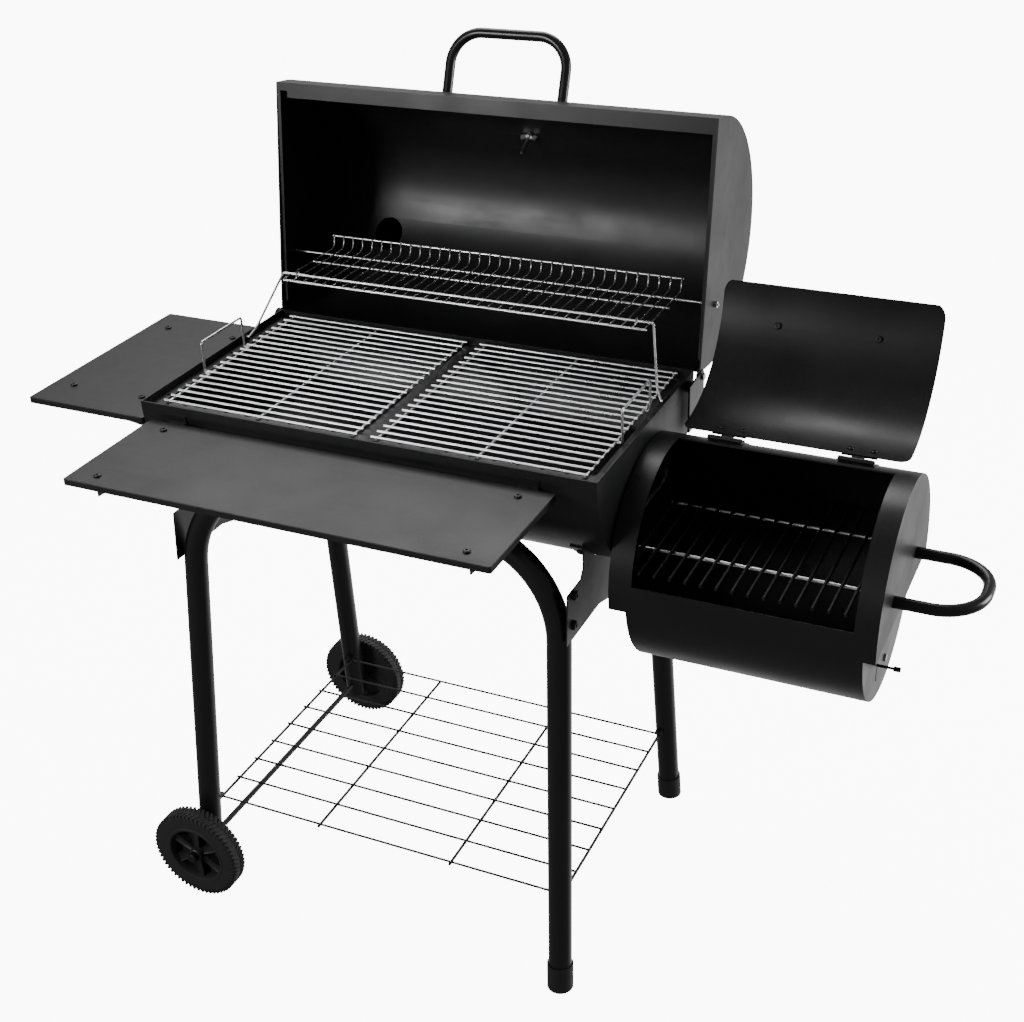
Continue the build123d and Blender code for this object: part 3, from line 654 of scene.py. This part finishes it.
# ------------------------------------------------------------------ wheels
@dataclass
class Wheel:
    """One wheel: a tyre with slanted tread blocks and a moulded six-spoke hub."""

    side: Side
    palette: Palette
    bead: float = 0.060
    mouth: float = 0.0495
    tread_depth: float = 0.0017
    blocks: int = 60
    block: Point = (0.0052, 0.0150, 0.0036)
    rib: Point = (0.0030, 0.0016, 0.0110)
    slant: float = 30.0
    rib_lean: float = 28.0
    spokes: int = 6
    spoke: Point = (0.0115, 0.016, 0.0445)
    spoke_middle: float = 0.0345
    bore: float = 0.0052
    web_half: float = 0.0010
    web_setback: float = 0.006
    clear: float = 0.0001

    def __post_init__(self) -> None:
        """Reads the wheel's place from the frame."""
        self.word = self.side.name.lower()
        low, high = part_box(f"tyre_{self.word}")
        self.centre = (low + high) / 2
        self.radius = min(high.x - low.x, high.z - low.z) / 2 - self.clear
        self.half = (high.y - low.y) / 2

    def around(self, index: int, row: int) -> Matrix:
        """Turn from the wheel's centre to one tread block or rib; the two rows are staggered.

        Args:
            index: which block, counted round the tyre.
            row: -1 or 1, the side of the tread.

        Returns:
            The matrix that carries a piece made above the hub to its place round the wheel.
        """
        stagger = 0.5 if row > 0 else 0.0
        turn = math.radians(360.0 / self.blocks * (index + stagger))
        return Matrix.Translation(self.centre) @ Matrix.Rotation(turn, 4, "Y")

    def tyre(self) -> None:
        """Carcass, shoulders and two rows of tread blocks."""
        r, h, w = self.radius - self.tread_depth, self.half, 0.004
        m = self.mouth
        wall = [(m, -h + 0.0030), (m + 0.0015, -h + 0.0006), (m + 0.0035, -h), (m + 0.0060, -h),
                (m + 0.0072, -h + 0.0010), (r - 3 * w, -h + 0.0004), (r - w, -h + 0.0016),
                (r, -h + w + 0.001)]
        carcass = spin_ring(f"tyre_carcass_{self.word}", mirrored(wall), self.centre, "y", 96)
        block = start("cube", f"tread_{self.word}", size=1.0)
        block.scale = self.block
        settle(block)
        pick(block, "FACE", lambda p, n: n.z > 0.9)
        bpy.ops.transform.resize(value=(0.82, 0.94, 1.0))
        leave_edit()
        round_edges(block, 0.0006, 1)
        places = []
        top = self.radius - self.block[2] / 2 - self.clear
        for i in range(self.blocks):
            for row in (-1, 1):
                seat = Matrix.Translation((0, row * self.half * 0.5, top))
                slant = Matrix.Rotation(math.radians(row * self.slant), 4, "Z")
                places.append(self.around(i, row) @ seat @ slant)
        piece = merge(f"tyre_{self.word}_rubber", carcass, copies(block, places), self.ribs())
        finish_piece(piece, f"wheel_{self.word}", Slot.TREAD, self.palette.tread, f"tyre_{self.word}")

    def ribs(self) -> bpy.types.Object:
        """Short slanted ribs that carry the tread over both shoulders.

        Returns:
            All the ribs of one tyre as one piece.
        """
        rib = start("cube", f"shoulder_{self.word}", size=1.0)
        rib.scale = self.rib
        settle(rib)
        pick(rib, "FACE", lambda p, n: n.z < -0.9)
        bpy.ops.transform.resize(value=(0.45, 0.6, 1.0))
        leave_edit()
        round_edges(rib, 0.0004, 1)
        places = []
        reach = self.radius - self.tread_depth - self.rib[2] / 2 - 0.0012
        for i in range(self.blocks):
            for row in (-1, 1):
                shoulder = Matrix.Translation((0, row * (self.half - 0.0009), reach))
                lean = Matrix.Rotation(math.radians(row * self.rib_lean), 4, "Y")
                places.append(self.around(i, row) @ shoulder @ lean)
        return copies(rib, places)

    def hub(self) -> None:
        """Rim, ribbed spokes, a stepped boss and a thin web set back between the spokes."""
        low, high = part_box(f"hub_{self.word}")
        out = self.side.value
        b = self.bead
        lip = [(b, 0.0120), (b - 0.0015, 0.0135), (b - 0.0045, 0.0135), (b - 0.0055, 0.0120),
               (b - 0.0060, 0.002)]
        rim = spin_ring(f"rim_{self.word}", mirrored(lip), self.centre, "y", 72)
        end = (high.y - low.y) / 2 - 2 * self.clear
        steps = [(self.bore, -end), (0.0100, -end), (0.0118, -end + 0.0015), (0.0130, -0.009),
                 (0.0150, -0.004)]
        boss = spin_ring(f"boss_{self.word}", mirrored(steps), self.centre, "y", 48)
        arm = start("cube", f"spoke_{self.word}", size=1.0, location=(0, 0, self.spoke_middle))
        arm.scale = self.spoke
        settle(arm)
        pick(arm, "FACE", lambda p, n: n.z > 0.9)
        bpy.ops.transform.resize(value=(1.5, 1.15, 1.0))
        bpy.ops.object.mode_set(mode="OBJECT")
        pick(arm, "FACE", lambda p, n: abs(n.y) > 0.7)
        bpy.ops.mesh.inset(thickness=0.0018, depth=-0.0030)
        leave_edit()
        round_edges(arm, 0.0005, 1)
        hub_centre = Matrix.Translation(self.centre)
        places = [hub_centre @ Matrix.Rotation(2 * math.pi / self.spokes * i, 4, "Y")
                  for i in range(self.spokes)]
        arms = copies(arm, places)
        face = [(0.0140, -self.web_half), (0.0545, -self.web_half)]
        web_centre = (self.centre.x, self.centre.y - out * self.web_setback, self.centre.z)
        web = spin_ring(f"web_{self.word}", mirrored(face), web_centre, "y", 72)
        piece = merge(f"hub_{self.word}_moulding", rim, boss, arms, web)
        finish_piece(piece, f"wheel_{self.word}", Slot.PLASTIC, self.palette.plastic, f"hub_{self.word}")

    def build(self) -> None:
        """Builds the tyre and the hub."""
        self.tyre()
        self.hub()


# ------------------------------------------------------------------ thermometer
@dataclass
class Dial:
    """The thermometer's scale: plain dark ticks round the bright dial, with no figures or words."""

    palette: Palette
    ticks: int = 27
    long_every: int = 2
    short: float = 0.55
    sweep: float = 270.0
    rim: float = 0.0225
    tick: Point = (0.0008, 0.0042, 0.0004)
    depth: float = 0.0062

    def build(self) -> None:
        """Lays the ticks just above the dial's floor, square to the thermometer's own axis."""
        low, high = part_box("thermometer_lens")
        case_low, case_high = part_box("thermometer_case")
        middle, spread = (low + high) / 2, high - low
        away = middle - (case_low + case_high) / 2
        out = Vector((0.0, math.copysign(spread.z, away.y), math.copysign(spread.y, away.z))).normalized()
        face = Matrix.Translation(middle - out * self.depth) @ out.to_track_quat("Z", "X").to_matrix().to_4x4()
        tick = start("cube", "dial_tick", size=1.0)
        tick.scale = self.tick
        settle(tick)
        places = []
        for i in range(self.ticks):
            angle = math.radians(self.sweep * (i / (self.ticks - 1) - 0.5))
            size = 1.0 if i % self.long_every == 0 else self.short
            reach = Matrix.Translation((0, self.rim - size * self.tick[1] / 2, 0))
            stretch = Matrix.Diagonal((1.0, size, 1.0, 1.0))
            places.append(face @ Matrix.Rotation(angle, 4, "Z") @ reach @ stretch)
        scale = copies(tick, places)
        scale.name = "thermometer_scale"
        finish_piece(scale, "lid", Slot.BOLT, self.palette.bolt_coat)


# ------------------------------------------------------------------ studio
@dataclass(frozen=True)
class SoftBox:
    """One rectangular area light.

    Attributes:
        name: Name of the light.
        place: Where it stands.
        target: The point it faces.
        size: Its width and height.
        power: Its power in watts.
    """

    name: str
    place: Point
    target: Point
    size: tuple[float, float]
    power: float


@dataclass
class Studio:
    """Pale floor, soft lights and the camera."""

    floor_level: float = -0.0005
    eye: Point = (0.948122, -2.060956, 1.898145)
    azimuth: float = 25.448
    elevation: float = 28.683
    roll: float = -2.02
    lens: float = 54.997
    floor_glow: float = 10.0
    seen_glow: float = 10.0
    room_dim: float = 0.15
    room_wall: float = 0.22
    room_below: float = 0.95
    boxes: tuple[SoftBox, ...] = (
        SoftBox("back_top_box", (-1.0, 1.7, 3.3), (0.0, 0.1, 0.8), (2.6, 1.8), 78.0),
        SoftBox("front_left_box", (-1.75, -3.0, 1.9), (0.0, 0.2, 0.95), (0.9, 1.2), 50.0),
        SoftBox("right_box", (3.5, 1.8, 1.3), (0.3, 0.0, 0.8), (1.6, 1.6), 95.0),
    )

    def floor(self) -> None:
        """A wide pale floor that glows evenly and so has no edge against the surround."""
        bpy.ops.mesh.primitive_plane_add(size=60.0, location=(0, 0, self.floor_level))
        floor = bpy.context.active_object
        floor.name = "studio_floor"
        material, sheet, shader = new_material("pale_floor")
        place = sheet.add("ShaderNodeTexCoord").outputs["Object"]
        tone = sheet.span(sheet.noise(0.7, 2.0, place), 0.3, 0.7, 0.84, 0.88)
        mix = sheet.add("ShaderNodeCombineColor")
        for i in range(3):
            sheet.join(tone, mix.inputs[i])
        sheet.join(mix.outputs[0], shader.inputs["Base Color"])
        shader.inputs["Roughness"].default_value = 0.7
        shader.inputs["Emission Color"].default_value = (1.0, 1.0, 1.0, 1.0)
        shader.inputs["Emission Strength"].default_value = self.floor_glow
        dress(floor, material)
        floor.visible_glossy = False
        floor.visible_diffuse = False

    def surround(self) -> None:
        """A dim room with one broad bright wall on the far side."""
        world = bpy.data.worlds.new("studio_surround")
        bpy.context.scene.world = world
        world.use_nodes = True
        tree = world.node_tree
        back = next(n for n in tree.nodes if n.type == "BACKGROUND")
        sheet = NodeSheet(tree)
        way = sheet.add("ShaderNodeTexCoord").outputs["Generated"]
        parts = sheet.add("ShaderNodeSeparateXYZ")
        sheet.join(way, parts.inputs[0])
        far = sheet.span(parts.outputs["Y"], 0.15, 0.75, 0.0, 1.0)
        low = sheet.span(parts.outputs["Z"], 0.35, 0.75, 1.0, 0.0)
        wall = sheet.maths("MULTIPLY", far, low)
        level = sheet.span(parts.outputs["Z"], -0.35, -0.05, self.room_below, self.room_wall)
        room = sheet.maths("ADD", sheet.maths("MULTIPLY", wall, level), self.room_dim)
        rays = sheet.add("ShaderNodeLightPath").outputs["Is Camera Ray"]
        seen = sheet.maths("MULTIPLY", rays, self.seen_glow)
        hidden = sheet.maths("MULTIPLY", sheet.maths("SUBTRACT", 1.0, rays), room)
        sheet.join(sheet.maths("ADD", seen, hidden), back.inputs["Strength"])
        back.inputs["Color"].default_value = (1.0, 1.0, 1.0, 1.0)

    def lights(self) -> None:
        """Large soft boxes round the piece."""
        for box in self.boxes:
            data = bpy.data.lights.new(box.name, "AREA")
            data.shape = "RECTANGLE"
            data.size, data.size_y = box.size
            data.energy = box.power
            lamp = bpy.data.objects.new(box.name, data)
            bpy.context.scene.collection.objects.link(lamp)
            lamp.location = box.place
            aim = Vector(box.target) - Vector(box.place)
            lamp.rotation_euler = aim.to_track_quat("-Z", "Y").to_euler()

    def camera(self) -> None:
        """The camera at its fixed viewing angle."""
        a, e, r = (math.radians(v) for v in (self.azimuth, self.elevation, self.roll))
        back = Vector((math.sin(a) * math.cos(e), -math.cos(a) * math.cos(e), math.sin(e)))
        level = (-back).cross(Vector((0, 0, 1))).normalized()
        above = level.cross(-back).normalized()
        right = level * math.cos(r) + above * math.sin(r)
        up = above * math.cos(r) - level * math.sin(r)
        turn = Matrix((right, up, back)).transposed()
        data = bpy.data.cameras.new("studio_camera")
        data.lens = self.lens
        data.sensor_width = 36.0
        data.sensor_fit = "HORIZONTAL"
        cam = bpy.data.objects.new("studio_camera", data)
        bpy.context.scene.collection.objects.link(cam)
        cam.matrix_world = Matrix.Translation(Vector(self.eye)) @ turn.to_4x4()
        bpy.context.scene.camera = cam

    def build(self) -> None:
        """Builds the whole studio."""
        self.floor()
        self.surround()
        self.lights()
        self.camera()
        LOG.info("studio: floor, lights and camera")


# ------------------------------------------------------------------ frame
class FrameDress:
    """Finishes on the nodes that stay as packed."""

    TUBES = ("leg_frame_front", "leg_frame_rear", "end_handle", "lid_handle", "door_handle")
    SHELVES = ("front_shelf", "left_shelf")
    BOLTS = ("frame_bolts", "shelf_screws", "lid_handle_screws", "door_screws", "door_hinge_fixed")

    def __init__(self, frame: dict, palette: Palette) -> None:
        """Keeps the loaded frame and the finishes."""
        self.frame = frame
        self.palette = palette

    def build(self) -> None:
        """Dresses every node by its record slot, then the special ones."""
        slots = {s["node"]: s["material_slot"] for s in self.frame["record"]["subparts"]}
        special = {**{n: self.palette.tube_coat for n in self.TUBES},
                   **{n: self.palette.shelf_coat for n in self.SHELVES},
                   **{n: self.palette.bolt_coat for n in self.BOLTS}, "axle": self.palette.dark_wire}
        for name, node in self.frame["nodes"].items():
            dress(node, special.get(name) or self.palette.for_slot(Slot(slots[name])))
            LOG.info("node %s dressed", name)


def main() -> None:
    """Builds the smoker's looks in order."""
    logging.basicConfig(level=logging.INFO, format="%(message)s")
    for stray in list(bpy.data.objects):
        bpy.data.objects.remove(stray)
    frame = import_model()
    bpy.ops.object.select_all(action="DESELECT")
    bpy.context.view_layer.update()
    palette = Palette()
    FrameDress(frame, palette).build()
    for side in Side:
        Wheel(side, palette).build()
    Dial(palette).build()
    Studio().build()


if __name__ == "__main__":
    main()
